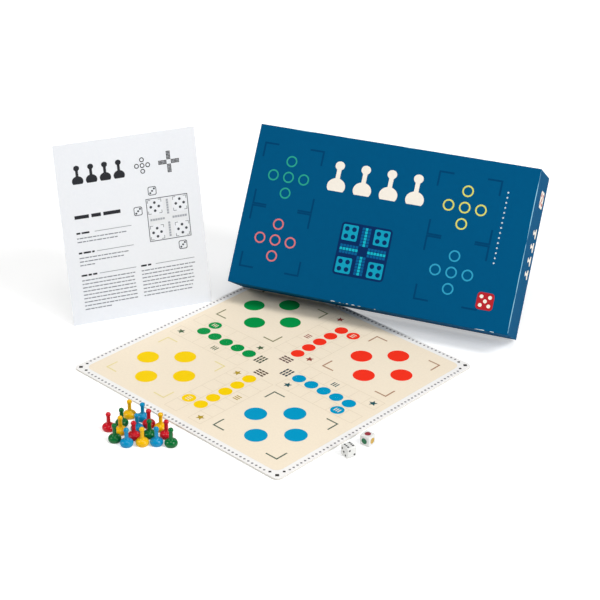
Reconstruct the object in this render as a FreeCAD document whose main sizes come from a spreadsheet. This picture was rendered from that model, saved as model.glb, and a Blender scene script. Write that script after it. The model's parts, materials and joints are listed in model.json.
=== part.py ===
import FreeCAD
import Part
import os
import re

import Sketcher

# A ludo set laid out for play: a board that folds in half, the closed box leaning behind it,
# a sheet of rules leaning beside it, sixteen pawns and two dice.
# Millimetres, +Z up. The origin is on the table under the middle of the board, X runs along
# the board's fold and Y towards the box.

# Driving dimensions: name, value in millimetres or degrees, what it measures
DRIVING_SIZES = (
    ("board_side", 335.0, "side of the opened board"),
    ("board_core", 2.0, "solid board of the two halves"),
    ("board_print", 0.2, "printed sheet on top of the board"),
    ("board_lining", 0.2, "plain sheet under the board"),
    ("board_corner", 7.0, "corner radius of the board"),
    ("board_slack_long", 9.0, "room at each end of the folded board in the tray"),
    ("board_slack_wide", 13.5, "room beside the folded board in the tray"),
    ("case_board", 1.6, "greyboard of the box"),
    ("case_round", 0.4, "edge radius of the greyboard under the stays"),
    ("stay_thick", 0.2, "paper tape that joins the box corners"),
    ("stay_width", 18.0, "reach of a corner stay on each wall"),
    ("wrap_thick", 0.2, "printed paper round the box"),
    ("wrap_turn_in", 15.0, "paper turned in over the rim"),
    ("tray_depth", 58.1, "outside depth of the tray"),
    ("lid_clearance", 0.5, "air between tray and lid on each side"),
    ("lid_seat_gap", 0.1, "air between the tray's rim and the lid's top"),
    ("box_yaw", 22.2, "turn of the box on the table"),
    ("box_lean", 33.5, "lean of the box from upright"),
    ("box_inset", 0.8, "box corner inside the board's left edge"),
    ("box_setback", 52.4, "box corner in front of the board's far edge"),
    ("box_rest_gap", 0.3, "air between the box's foot and the board"),
    ("leaflet_width", 180.0, "width of the rules sheet"),
    ("leaflet_height", 225.0, "height of the rules sheet"),
    ("leaflet_thick", 0.25, "paper of the rules sheet"),
    ("leaflet_yaw", 65.4, "turn of the rules sheet on the table"),
    ("leaflet_lean", 15.2, "lean of the rules sheet from upright"),
    ("leaflet_gap", 3.2, "rules sheet's foot from the board's left edge"),
    ("leaflet_shift", 63.0, "rules sheet's right foot behind the board's middle"),
    ("pawn_height", 22.5, "height of a pawn"),
    ("pawn_base_radius", 7.5, "widest radius of the bulb"),
    ("pawn_bulb_height", 3.0, "height of the bulb's widest ring"),
    ("pawn_bulb_round", 4.6, "section radius of the bulb"),
    ("pawn_flare_round", 3.5, "section radius between bulb and neck"),
    ("pawn_neck_radius", 2.2, "radius of the neck"),
    ("pawn_head_radius", 3.0, "radius of the ball head"),
    ("pawn_foot_ring", 1.2, "width of the ring a pawn stands on"),
    ("pawn_dish_depth", 0.8, "depth of the dished underside"),
    ("pawn_gap", 0.3, "least air between two pawns"),
    ("pawn_row_gap", 9.9, "air between the board and the nearest pawns"),
    ("die_edge", 13.0, "edge of a die"),
    ("die_round", 1.5, "edge radius of a die"),
    ("die_gap", 6.8, "air between the board and the dice"),
    ("pip_radius", 1.25, "radius of a number pip"),
    ("pip_depth", 0.4, "depth of a number pip"),
    ("pip_spacing", 3.2, "pip row from the face's middle"),
    ("pip_die_shift", -76.0, "number die along the board's edge"),
    ("pip_die_yaw", -13.0, "turn of the number die"),
    ("spot_radius", 3.6, "radius of a colour spot"),
    ("spot_depth", 0.3, "depth of a colour spot"),
    ("spot_die_shift", -44.8, "colour die along the board's edge"),
    ("spot_die_yaw", 5.0, "turn of the colour die"),
    ("cut_overrun", 1.0, "how far a cutting block runs past what it cuts"),
)

# Pawn places: along the board's near edge from its middle, and away from that edge,
# both in steps of one pawn and its gap
PAWN_PLACE_SHARES = {
    "red": ((-2.48, 2.62), (-0.30, 2.12), (-0.72, 0.28), (1.26, 0.37)),
    "green": ((-1.04, 3.30), (-2.24, 1.56), (0.34, 1.18), (2.28, 0.86)),
    "yellow": ((-1.50, 2.34), (0.74, 2.24), (-2.68, 0.40), (0.26, 0.00)),
    "blue": ((0.00, 3.08), (1.44, 1.50), (-0.88, 1.28), (-1.70, 0.00)),
}

# Pip places on a die face, in steps of the pip spacing
PIP_SHARES = {
    "one": ((0, 0),),
    "two": ((-1, -1), (1, 1)),
    "three": ((-1, 1), (0, 0), (1, -1)),
    "four": ((-1, -1), (-1, 1), (1, -1), (1, 1)),
    "five": ((-1, -1), (-1, 1), (0, 0), (1, -1), (1, 1)),
    "six": ((-1, -1), (0, -1), (1, -1), (-1, 1), (0, 1), (1, 1)),
}

# Yaw, pitch and roll that turn a die's upper face onto each of its six faces
FACE_TURNS = {
    "top": "0; 0; 0",
    "bottom": "0; 0; 180",
    "front": "0; 0; 90",
    "back": "0; 0; -90",
    "right": "0; 90; 0",
    "left": "0; -90; 0",
}
NUMBERS_BY_FACE = {
    "top": "six", "bottom": "one", "front": "three", "back": "four", "right": "two", "left": "five"
}
SPOTS_BY_FACE = {face: "one" for face in FACE_TURNS}

SIZE_NAMES = {name for name, value, meaning in DRIVING_SIZES}


def bound(formula):
    """The formula with each driving dimension's name pointed at its cell."""
    return re.sub(
        r"[a-z_]+",
        lambda word: f"Sizes.{word[0]}" if word[0] in SIZE_NAMES else word[0],
        formula,
    )


def bind(item, **formulas):
    """Tie properties of a document object to formulas of the driving dimensions."""
    for name, formula in formulas.items():
        item.setExpression(name, bound(formula))


def place(across="0", along="0", up="0", turn="0; 0; 0"):
    """Formula of a placement from three lengths and a yaw, pitch and roll."""
    return f"placement(vector({across}; {along}; {up}); rotation({turn}))"


# Formulas that several pieces share
BOARD_THICK = "(board_lining + board_core + board_print)"
CASE_WALL = "(case_board + 2 * wrap_thick)"
CASE_FLOOR = "(case_board + wrap_thick)"
TRAY_LENGTH = f"(board_side + 2 * board_slack_long + 2 * {CASE_WALL})"
TRAY_WIDTH = f"(board_side / 2 + 2 * board_slack_wide + 2 * {CASE_WALL})"
TRAY_INSET = f"({CASE_WALL} + lid_clearance)"
LID_LENGTH = f"({TRAY_LENGTH} + 2 * {TRAY_INSET})"
LID_WIDTH = f"({TRAY_WIDTH} + 2 * {TRAY_INSET})"
LID_DEPTH = f"(tray_depth + lid_seat_gap + {CASE_FLOOR})"
PAWN_PITCH = "(2 * pawn_base_radius + pawn_gap)"

# The closed box lies on its back here, then leans on its lower long edge behind the board
BOX_FRAME = place(
    "-board_side / 2 + box_inset",
    "board_side / 2 - box_setback",
    f"{BOARD_THICK} + box_rest_gap",
    "box_yaw; 0; 90 - box_lean",
)
TRAY_FRAME = f"{BOX_FRAME} * {place(TRAY_INSET, TRAY_INSET)}"
LID_FRAME = f"{BOX_FRAME} * {place('0', LID_WIDTH, LID_DEPTH, '0; 0; 180')}"

# The rules sheet's right foot on the table, with its page running to the left from there
LEAFLET_FRAME = place("-board_side / 2 - leaflet_gap", "leaflet_shift", "0", "leaflet_yaw; 0; 0")


def add_sheet(doc):
    """Spreadsheet with one named cell per driving dimension."""
    sheet = doc.addObject("Spreadsheet::Sheet", "Sizes")
    for row, (name, value, meaning) in enumerate(DRIVING_SIZES, start=1):
        sheet.set(f"A{row}", meaning)
        sheet.set(f"B{row}", str(value))
        sheet.setAlias(f"B{row}", name)
    doc.recompute()
    return sheet


def add_sketch(body, plane):
    """Empty sketch on one of the body's own origin planes."""
    sketch = body.newObject("Sketcher::SketchObject", f"{body.Name}_outline")
    planes = {feature.Role: feature for feature in body.Origin.OriginFeatures}
    sketch.AttachmentSupport = (planes[plane], [""])
    sketch.MapMode = "FlatFace"
    return sketch


def add_size(sketch, name, formula, *constraint):
    """Named constraint of a sketch, tied to the driving dimensions."""
    index = sketch.addConstraint(Sketcher.Constraint(*constraint))
    sketch.renameConstraint(index, name)
    sketch.setExpression(f"Constraints.{name}", bound(formula))


def add_box(doc, name, length, width, height, frame):
    """Plain block with one corner at its frame."""
    box = doc.addObject("Part::Box", name)
    bind(box, Length=length, Width=width, Height=height, Placement=frame)
    return box


def is_upright(edge):
    """True for a block's upright edge."""
    return edge.BoundBox.ZLength > edge.BoundBox.XLength + edge.BoundBox.YLength


def is_outer_upright(edge):
    """True for an upright edge away from the block's first side."""
    return is_upright(edge) and edge.BoundBox.YMin > edge.BoundBox.YLength


def is_upright_or_foot(edge):
    """True for an upright edge or one round the block's underside."""
    return is_upright(edge) or edge.BoundBox.ZMax < edge.BoundBox.DiagonalLength / 2


def add_rounded_block(doc, name, length, width, height, frame, radius, picks):
    """Padded rectangle with its corner at its frame and the picked edges rounded."""
    body = doc.addObject("PartDesign::Body", name)
    sketch = add_sketch(body, "XY_Plane")
    unit = [FreeCAD.Vector(x, y) for x, y in ((0, 0), (1, 0), (1, 1), (0, 1))]
    for side, start in enumerate(unit):
        sketch.addGeometry(Part.LineSegment(start, unit[(side + 1) % 4]))
    for side in range(4):
        sketch.addConstraint(Sketcher.Constraint("Coincident", side, 2, (side + 1) % 4, 1))
        level = "Vertical" if side % 2 else "Horizontal"
        sketch.addConstraint(Sketcher.Constraint(level, side))
    sketch.addConstraint(Sketcher.Constraint("Coincident", 0, 1, -1, 1))
    add_size(sketch, "length", length, "DistanceX", 0, 1, 0, 2, 1.0)
    add_size(sketch, "width", width, "DistanceY", 1, 1, 1, 2, 1.0)
    pad = body.newObject("PartDesign::Pad", f"{name}_pad")
    pad.Profile = sketch
    bind(pad, Length=height)
    doc.recompute()
    edges = [f"Edge{i}" for i, edge in enumerate(pad.Shape.Edges, start=1) if picks(edge)]
    rounding = body.newObject("PartDesign::Fillet", f"{name}_rounding")
    rounding.Base = (pad, edges)
    bind(rounding, Radius=radius)
    bind(body, Placement=frame)
    return body


def add_boolean(doc, kind, name, base, tool, frame=None):
    """Two objects in one: Cut takes the tool away, Common keeps what both share, Fuse joins them."""
    result = doc.addObject(f"Part::{kind}", name)
    result.Base = base
    result.Tool = tool
    if frame:
        bind(result, Placement=frame)
    return result


def add_board(doc):
    """Two halves of the board, each a panel of solid board between a print and a lining."""
    frames = {"far": ("-board_side / 2", "0; 0; 0"), "near": ("board_side / 2", "180; 0; 0")}
    layers = (
        ("lining", "board_lining", "0"),
        ("panel", "board_core", "board_lining"),
        ("print", "board_print", "board_lining + board_core"),
    )
    return [
        add_rounded_block(
            doc, f"board_{layer}_{half}", "board_side", "board_side / 2", thickness,
            place(across, "0", height, turn), "board_corner", is_outer_upright,
        )
        for half, (across, turn) in frames.items()
        for layer, thickness, height in layers
    ]


def add_case(doc, name, base, length, width, depth, frame):
    """Half of the box: five greyboard panels, the stays let into its corners and its paper wrap."""

    def inset_sides(inset):
        return f"{length} - 2 * ({inset})", f"{width} - 2 * ({inset})"

    def rounded(part, inset, floor, height, radius):
        sides = inset_sides(inset)
        return add_rounded_block(
            doc, f"{name}_{part}", *sides, height, place(inset, inset, floor), radius, is_upright_or_foot
        )

    def hollow(part, inset, height):
        sides = inset_sides(inset)
        return add_box(doc, f"{name}_{part}", *sides, height, place(inset, inset, CASE_FLOOR))

    skin = rounded("skin", "0", "0", depth, "case_round + stay_thick + wrap_thick")
    core_height = f"{depth} - 2 * wrap_thick"
    core = rounded("core", "wrap_thick", "wrap_thick", core_height, "case_round + stay_thick")
    shell = add_boolean(doc, "Cut", f"{name}_shell", core, hollow("hollow", CASE_FLOOR, depth))

    under_stays = "wrap_thick + stay_thick"
    inner = rounded("inner", under_stays, "-cut_overrun", f"{depth} + 2 * cut_overrun", "case_round")
    belt = add_boolean(doc, "Cut", f"{name}_belt", core, inner)
    posts = doc.addObject("Part::MultiFuse", f"{name}_posts")
    posts.Shapes = [
        add_box(
            doc, f"{name}_post_{end}{side}", "stay_width", "stay_width", core_height,
            place(across, along, CASE_FLOOR),
        )
        for end, across in enumerate(("0", f"{length} - stay_width"))
        for side, along in enumerate(("0", f"{width} - stay_width"))
    ]
    stays = add_boolean(doc, "Common", f"{name}_corner_stays", belt, posts, frame)
    stay_room = add_boolean(doc, "Common", f"{name}_stay_room", belt, posts)
    board = add_boolean(doc, "Cut", f"{name}_board", shell, stay_room)

    far_side, far_end = f"{width} - {CASE_FLOOR}", f"{length} - {CASE_FLOOR}"
    end_width = f"{width} - 2 * {CASE_FLOOR}"
    blocks = {
        base: (length, width, CASE_FLOOR, place()),
        "long_wall_1": (length, CASE_FLOOR, depth, place("0", "0", CASE_FLOOR)),
        "long_wall_2": (length, CASE_FLOOR, depth, place("0", far_side, CASE_FLOOR)),
        "end_wall_1": (CASE_FLOOR, end_width, depth, place("0", CASE_FLOOR, CASE_FLOOR)),
        "end_wall_2": (CASE_FLOOR, end_width, depth, place(far_end, CASE_FLOOR, CASE_FLOOR)),
    }
    panels = []
    for part, block in blocks.items():
        room = add_box(doc, f"{name}_{part}_room", *block)
        panels.append(add_boolean(doc, "Common", f"{name}_{part}", board, room, frame))

    below_turn_in = hollow("below_turn_in", CASE_FLOOR, f"{depth} - wrap_thick - wrap_turn_in - {CASE_FLOOR}")
    inside_turn_in = hollow("inside_turn_in", CASE_WALL, depth)
    mouth = add_boolean(doc, "Fuse", f"{name}_mouth", below_turn_in, inside_turn_in)
    paper = add_boolean(doc, "Cut", f"{name}_paper", skin, shell)
    wrap = add_boolean(doc, "Cut", f"{name}_wrap", paper, mouth, frame)
    return [*panels, stays, wrap]


def add_leaflet(doc):
    """One sheet of rules leaning back on its lower edge."""
    lean = f"{LEAFLET_FRAME} * {place('-leaflet_width', '0', '0', '0; 0; -leaflet_lean')}"
    face = f"{lean} * {place('0', '-leaflet_thick')}"
    return add_box(doc, "rules_leaflet", "leaflet_width", "leaflet_thick", "leaflet_height", face)


def draw_pawn_profile(sketch, sheet):
    """Half section of a pawn: dished foot, bulb, flare, straight neck and ball head."""
    height = sheet.get("pawn_height")
    base = sheet.get("pawn_base_radius")
    bulb = sheet.get("pawn_bulb_round")
    flare = sheet.get("pawn_flare_round")
    neck = sheet.get("pawn_neck_radius")
    head = sheet.get("pawn_head_radius")
    normal = FreeCAD.Vector(0, 0, 1)

    bulb_centre = FreeCAD.Vector(base - bulb, sheet.get("pawn_bulb_height"))
    reach = neck + flare - bulb_centre.x
    flare_centre = bulb_centre + FreeCAD.Vector(reach, ((bulb + flare) ** 2 - reach**2) ** 0.5)
    head_centre = FreeCAD.Vector(0, height - head)
    foot = bulb_centre + FreeCAD.Vector((bulb**2 - bulb_centre.y**2) ** 0.5, -bulb_centre.y)
    joint = bulb_centre + (flare_centre - bulb_centre) * (bulb / (bulb + flare))
    neck_foot = flare_centre - FreeCAD.Vector(flare, 0)
    neck_top = head_centre + FreeCAD.Vector(neck, -((head**2 - neck**2) ** 0.5))
    ring = foot - FreeCAD.Vector(sheet.get("pawn_foot_ring"), 0)
    dish = FreeCAD.Vector(0, sheet.get("pawn_dish_depth"))
    crown = FreeCAD.Vector(0, height)

    def arc(centre, radius, start, end):
        circle = Part.Circle(centre, normal, radius)
        return Part.ArcOfCircle(circle, circle.parameter(start), circle.parameter(end))

    under, rim, swell, waist, stem, ball, axis = range(7)
    sketch.addGeometry(
        [
            Part.LineSegment(dish, ring),
            Part.LineSegment(ring, foot),
            arc(bulb_centre, bulb, foot, joint),
            arc(flare_centre, flare, neck_foot, joint),
            Part.LineSegment(neck_foot, neck_top),
            arc(head_centre, head, neck_top, crown),
            Part.LineSegment(crown, dish),
        ]
    )
    start, end, centre = 1, 2, 3
    origin = (-1, 1)
    level_axis, upright_axis = -1, -2
    constraints = (
        ("Coincident", under, end, rim, start),
        ("Coincident", rim, end, swell, start),
        ("Tangent", swell, end, waist, end),
        ("Tangent", waist, start, stem, start),
        ("Vertical", stem),
        ("Coincident", stem, end, ball, start),
        ("Coincident", ball, end, axis, start),
        ("Coincident", axis, end, under, start),
        ("PointOnObject", under, start, upright_axis),
        ("PointOnObject", ball, end, upright_axis),
        ("PointOnObject", ball, centre, upright_axis),
        ("PointOnObject", under, end, level_axis),
        ("PointOnObject", swell, start, level_axis),
    )
    for constraint in constraints:
        sketch.addConstraint(Sketcher.Constraint(*constraint))
    sizes = (
        ("dish_depth", "pawn_dish_depth", "DistanceY", *origin, under, start, dish.y),
        ("foot_ring", "pawn_foot_ring", "DistanceX", rim, start, rim, end, foot.x - ring.x),
        ("bulb_round", "pawn_bulb_round", "Radius", swell, bulb),
        ("bulb_middle", "pawn_base_radius - pawn_bulb_round", "DistanceX", *origin, swell, centre,
         bulb_centre.x),
        ("bulb_height", "pawn_bulb_height", "DistanceY", *origin, swell, centre, bulb_centre.y),
        ("flare_round", "pawn_flare_round", "Radius", waist, flare),
        ("neck_radius", "pawn_neck_radius", "DistanceX", *origin, stem, start, neck),
        ("head_radius", "pawn_head_radius", "Radius", ball, head),
        ("height", "pawn_height", "DistanceY", *origin, ball, end, height),
    )
    for size in sizes:
        add_size(sketch, *size)


def add_pawns(doc, sheet):
    """Sixteen turned pawns standing in a loose crowd in front of the board."""
    pawns = []
    for colour, places in PAWN_PLACE_SHARES.items():
        for number, (along_share, away_share) in enumerate(places, start=1):
            body = doc.addObject("PartDesign::Body", f"pawn_{colour}_{number}")
            sketch = add_sketch(body, "XZ_Plane")
            draw_pawn_profile(sketch, sheet)
            turning = body.newObject("PartDesign::Revolution", f"{body.Name}_turning")
            turning.Profile = sketch
            turning.ReferenceAxis = (sketch, ["V_Axis"])
            away = f"-board_side / 2 - pawn_row_gap - pawn_base_radius - {away_share} * {PAWN_PITCH}"
            bind(body, Placement=place(f"{along_share} * {PAWN_PITCH}", away))
            pawns.append(body)
    return pawns


def add_die(doc, name, marks_by_face, mark, shift, yaw):
    """Rounded cube with a sunk mark for each pip or spot on its six faces."""
    half = "die_edge / 2"
    corner = place(f"-{half}", f"-{half}", f"-{half}")
    edges = ("die_edge",) * 3
    cube = add_rounded_block(doc, f"{name}_cube", *edges, corner, "die_round", lambda edge: True)
    marks = doc.addObject("Part::MultiFuse", f"{name}_marks")
    cutters = []
    for face, pattern in marks_by_face.items():
        for number, (across_share, along_share) in enumerate(PIP_SHARES[pattern], start=1):
            cutter = doc.addObject("Part::Cylinder", f"{name}_{face}_{number}")
            spot = place(
                f"{across_share} * pip_spacing", f"{along_share} * pip_spacing", f"{half} - {mark}_depth"
            )
            bind(
                cutter,
                Radius=f"{mark}_radius",
                Height=f"{mark}_depth + cut_overrun",
                Placement=f"{place(turn=FACE_TURNS[face])} * {spot}",
            )
            cutters.append(cutter)
    marks.Shapes = cutters
    frame = place("board_side / 2 + die_gap + die_edge", shift, half, f"{yaw}; 0; 0")
    return add_boolean(doc, "Cut", name, cube, marks, frame)


def check(doc, sub_parts):
    """Stop if any object failed or any sub-part is not a sound solid."""
    failed = [item.Label for item in doc.Objects if {"Invalid", "Error"} & set(item.State)]
    unsound = [
        item.Label
        for item in sub_parts
        if item.Shape.isNull() or not item.Shape.isValid() or not item.Shape.Solids
    ]
    if failed or unsound:
        raise RuntimeError(f"failed objects {failed}, unsound sub-parts {unsound}")


def main():
    """Build the set and write one file per sub-part."""
    doc = FreeCAD.newDocument("ludo_set")
    sheet = add_sheet(doc)
    sub_parts = add_board(doc)
    sub_parts += add_case(doc, "tray", "floor", TRAY_LENGTH, TRAY_WIDTH, "tray_depth", TRAY_FRAME)
    sub_parts += add_case(doc, "lid", "top", LID_LENGTH, LID_WIDTH, LID_DEPTH, LID_FRAME)
    sub_parts.append(add_leaflet(doc))
    sub_parts += add_pawns(doc, sheet)
    sub_parts.append(add_die(doc, "die_pips", NUMBERS_BY_FACE, "pip", "pip_die_shift", "pip_die_yaw"))
    sub_parts.append(add_die(doc, "die_spots", SPOTS_BY_FACE, "spot", "spot_die_shift", "spot_die_yaw"))
    doc.recompute()
    check(doc, sub_parts)
    os.makedirs("parts", exist_ok=True)
    for item in sub_parts:
        item.Shape.exportStep(f"parts/{item.Label}.step")
        print(item.Label, len(item.Shape.Solids), round(item.Shape.Volume, 1))


main()
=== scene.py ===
"""Looks of a ludo set laid out for play: folding board, boxed case, rules sheet, pawns and two dice.

Lengths are millimetres until a mesh is made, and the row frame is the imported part's own: X along the
board's fold, Y from the fold towards the box, Z up from the table.
"""

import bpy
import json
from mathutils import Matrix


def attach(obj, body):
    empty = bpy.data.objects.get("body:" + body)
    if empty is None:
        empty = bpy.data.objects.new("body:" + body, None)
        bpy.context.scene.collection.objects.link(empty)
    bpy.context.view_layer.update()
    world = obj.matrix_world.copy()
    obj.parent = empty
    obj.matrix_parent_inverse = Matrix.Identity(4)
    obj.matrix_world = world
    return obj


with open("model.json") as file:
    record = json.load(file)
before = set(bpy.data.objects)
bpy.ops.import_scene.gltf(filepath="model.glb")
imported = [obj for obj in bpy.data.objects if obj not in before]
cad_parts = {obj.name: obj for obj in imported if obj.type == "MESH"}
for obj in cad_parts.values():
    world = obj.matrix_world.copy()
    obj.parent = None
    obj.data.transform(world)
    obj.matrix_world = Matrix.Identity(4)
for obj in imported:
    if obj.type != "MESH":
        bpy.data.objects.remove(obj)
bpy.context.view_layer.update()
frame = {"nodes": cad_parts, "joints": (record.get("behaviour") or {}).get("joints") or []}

import json
import logging
import math
from collections.abc import Sequence
from dataclasses import asdict, dataclass, field, replace
from enum import Enum

import bpy
import numpy as np
from bpy.types import ID, Material, Node, NodeSocket, NodeTree, Object
from mathutils import Matrix, Vector

LOG = logging.getLogger("ludo_set")
MM = 0.001  # a millimetre in metres
INK_STEP = 0.08  # height of a layer of ink
CREASE = 0.2  # width of the slope of the ink on each side of the fold
CREASE_BARE = 0.05  # share of that width, and of the ink's height, that is left at the fold line
LEAST_AREA = 1e-6  # below this area a cut shape is gone
ROUND_SIDES, DOT_SIDES, SPECK_SIDES = 48, 24, 16  # corners of large, small and tiny circles
DIAMOND = 4  # corners of a circle that is drawn as a diamond
GOLDEN = 1.618  # golden ratio
SQUARE_SHARE = 0.84  # side of a printed track's squares, of their spacing
FIBRE_TONE = 0.95  # fibres that show through an ink, of its own colour
UP = np.array([0.0, 0.0, 1.0])
WAYS = np.array([(1, 0), (0, 1), (-1, 0), (0, -1)])  # right, up, left and down
CORNERS = np.array([(1, 1), (-1, 1), (-1, -1), (1, -1)])  # corner signs, anticlockwise
QUARTER_TURNS = np.arange(4) * 90.0  # turns that face a bracket inwards at each of those corners
ROW_OF_FOUR = np.array([-1.5, -0.5, 0.5, 1.5])  # steps of four places about their middle
ARM_SIDES, ARM_MIDDLE = (-1, 1), (0,)  # columns of a track's arm: the outer two and the home column
RANGE = ("Value", "From Min", "From Max", "To Min", "To Max")  # inputs that map one range to another

Pair = tuple[float, float]
Triple = tuple[float, float, float]
Places = Sequence | np.ndarray  # one place, across and up, or rows of them


def levels(colour: str) -> np.ndarray:
    """Red, green and blue of an sRGB hex such as "#F5E7CE", from 0 to 255."""
    return np.array([int(colour[at:at + 2], 16) for at in (1, 3, 5)])


def linear(colour: str) -> tuple[float, ...]:
    """Linear red, green and blue of an sRGB hex, by the sRGB curve, with a full alpha."""
    share = levels(colour) / 255
    return (*np.where(share <= 0.04045, share / 12.92, ((share + 0.055) / 1.055) ** 2.4).tolist(), 1.0)


def toned(colour: str, share: float) -> str:
    """A written colour made darker or lighter: each of its levels times the share, held to the scale."""
    scaled = np.clip((levels(colour) * share).round(), 0, 255).astype(int)
    return "#" + "".join(f"{level:02X}" for level in scaled)


def add_node(tree: NodeTree, kind: str, inputs: dict | None = None, **settings: object) -> Node:
    """Add one shader node with its settings and links.

    Args:
        tree: Node tree that takes the node.
        kind: Blender's name of the node type, after the words that all shader nodes share.
        inputs: Input names or numbers with a value, or with the socket or node that feeds them. A node
            gives its first output that is in use.
        settings: Properties of the node itself.

    Returns:
        The new node.
    """
    node = tree.nodes.new(f"ShaderNode{kind}")
    for name, value in settings.items():
        setattr(node, name, value)
    for name, value in (inputs or {}).items():
        if isinstance(value, Node):
            value = next(socket for socket in value.outputs if socket.enabled)
        if isinstance(value, NodeSocket):
            tree.links.new(value, node.inputs[name])
        else:
            node.inputs[name].default_value = value
    return node


@dataclass(frozen=True)
class Finish:
    """A surface that is the same all over."""

    name: str  # what the material is
    colour: str  # sRGB hex
    roughness: float  # 0 for a mirror, 1 for chalk
    sheen: float = 0.5  # share of the clear reflection, 0.5 for all of a smooth surface's
    ior: float = 1.5  # index of refraction

    def material(self) -> Material:
        """Make the material once.

        Returns:
            The material, new or made before.
        """
        found = bpy.data.materials.get(self.name)
        if found:
            return found
        made = bpy.data.materials.new(self.name)
        made.use_nodes = True
        made.diffuse_color = linear(self.colour)
        shader = made.node_tree.nodes["Principled BSDF"]
        shader.inputs["Base Color"].default_value = linear(self.colour)
        shader.inputs["Roughness"].default_value = self.roughness
        shader.inputs["Specular IOR Level"].default_value = self.sheen
        shader.inputs["IOR"].default_value = self.ior
        self.texture(made.node_tree, shader)
        return made

    def texture(self, tree: NodeTree, shader: Node) -> None:
        """Leave the surface plain."""


# Tufts of fibre and the ripples of a moulded skin are about a millimetre across, too fine to show at
# the camera's distance, so they are drawn this many times as coarse
DRAWN_COARSER = 3.0


@dataclass(frozen=True)
class GrainFinish(Finish):
    """A surface with a fine grain of its own."""

    grain: float = 1.0  # size of the grain
    relief: float = 0.01  # height of the grain

    def texture(self, tree: NodeTree, shader: Node) -> None:
        """Raise a noise of the grain's size as a bump, and vary the surface by the same noise.

        Args:
            tree: Nodes to add to.
            shader: Shader that they feed.
        """
        place = add_node(tree, "TexCoord").outputs["Object"]
        scale = DRAWN_COARSER * MM
        grain = {"Vector": place, "Scale": 1 / (self.grain * scale), "Detail": 4.0, "Roughness": 0.65}
        noise = add_node(tree, "TexNoise", grain)
        bump = add_node(tree, "Bump", {"Height": noise, "Distance": self.relief * scale})
        tree.links.new(bump.outputs["Normal"], shader.inputs["Normal"])
        self.vary(tree, shader, noise)

    def vary(self, tree: NodeTree, shader: Node, noise: Node) -> None:
        """Leave colour and gloss even, whatever the noise of the grain."""


@dataclass(frozen=True)
class FibreFinish(GrainFinish):
    """Paper, board or the ink on it, whose fibres mottle the colour."""

    shade: str = "#FFFFFF"  # sRGB hex of the darker fibres

    def vary(self, tree: NodeTree, shader: Node, noise: Node) -> None:
        """Mix the two tones by the noise."""
        mixed = add_node(
            tree,
            "Mix",
            {"Factor": noise, "A": linear(self.shade), "B": linear(self.colour)},
            data_type="RGBA",
        )
        tree.links.new(mixed.outputs["Result"], shader.inputs["Base Color"])


@dataclass(frozen=True)
class GlossFinish(GrainFinish):
    """Moulded plastic or paint, glossy where new and dulled in places by handling."""

    dulled: float = 0.3  # roughness of the handled places
    handled: Pair = (0.4, 0.7)  # levels of the noise from new to dulled

    def vary(self, tree: NodeTree, shader: Node, noise: Node) -> None:
        """Run the roughness from new to dulled by the noise."""
        gloss = add_node(
            tree, "MapRange", dict(zip(RANGE, (noise, *self.handled, self.roughness, self.dulled)))
        )
        tree.links.new(gloss.outputs["Result"], shader.inputs["Roughness"])


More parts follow.
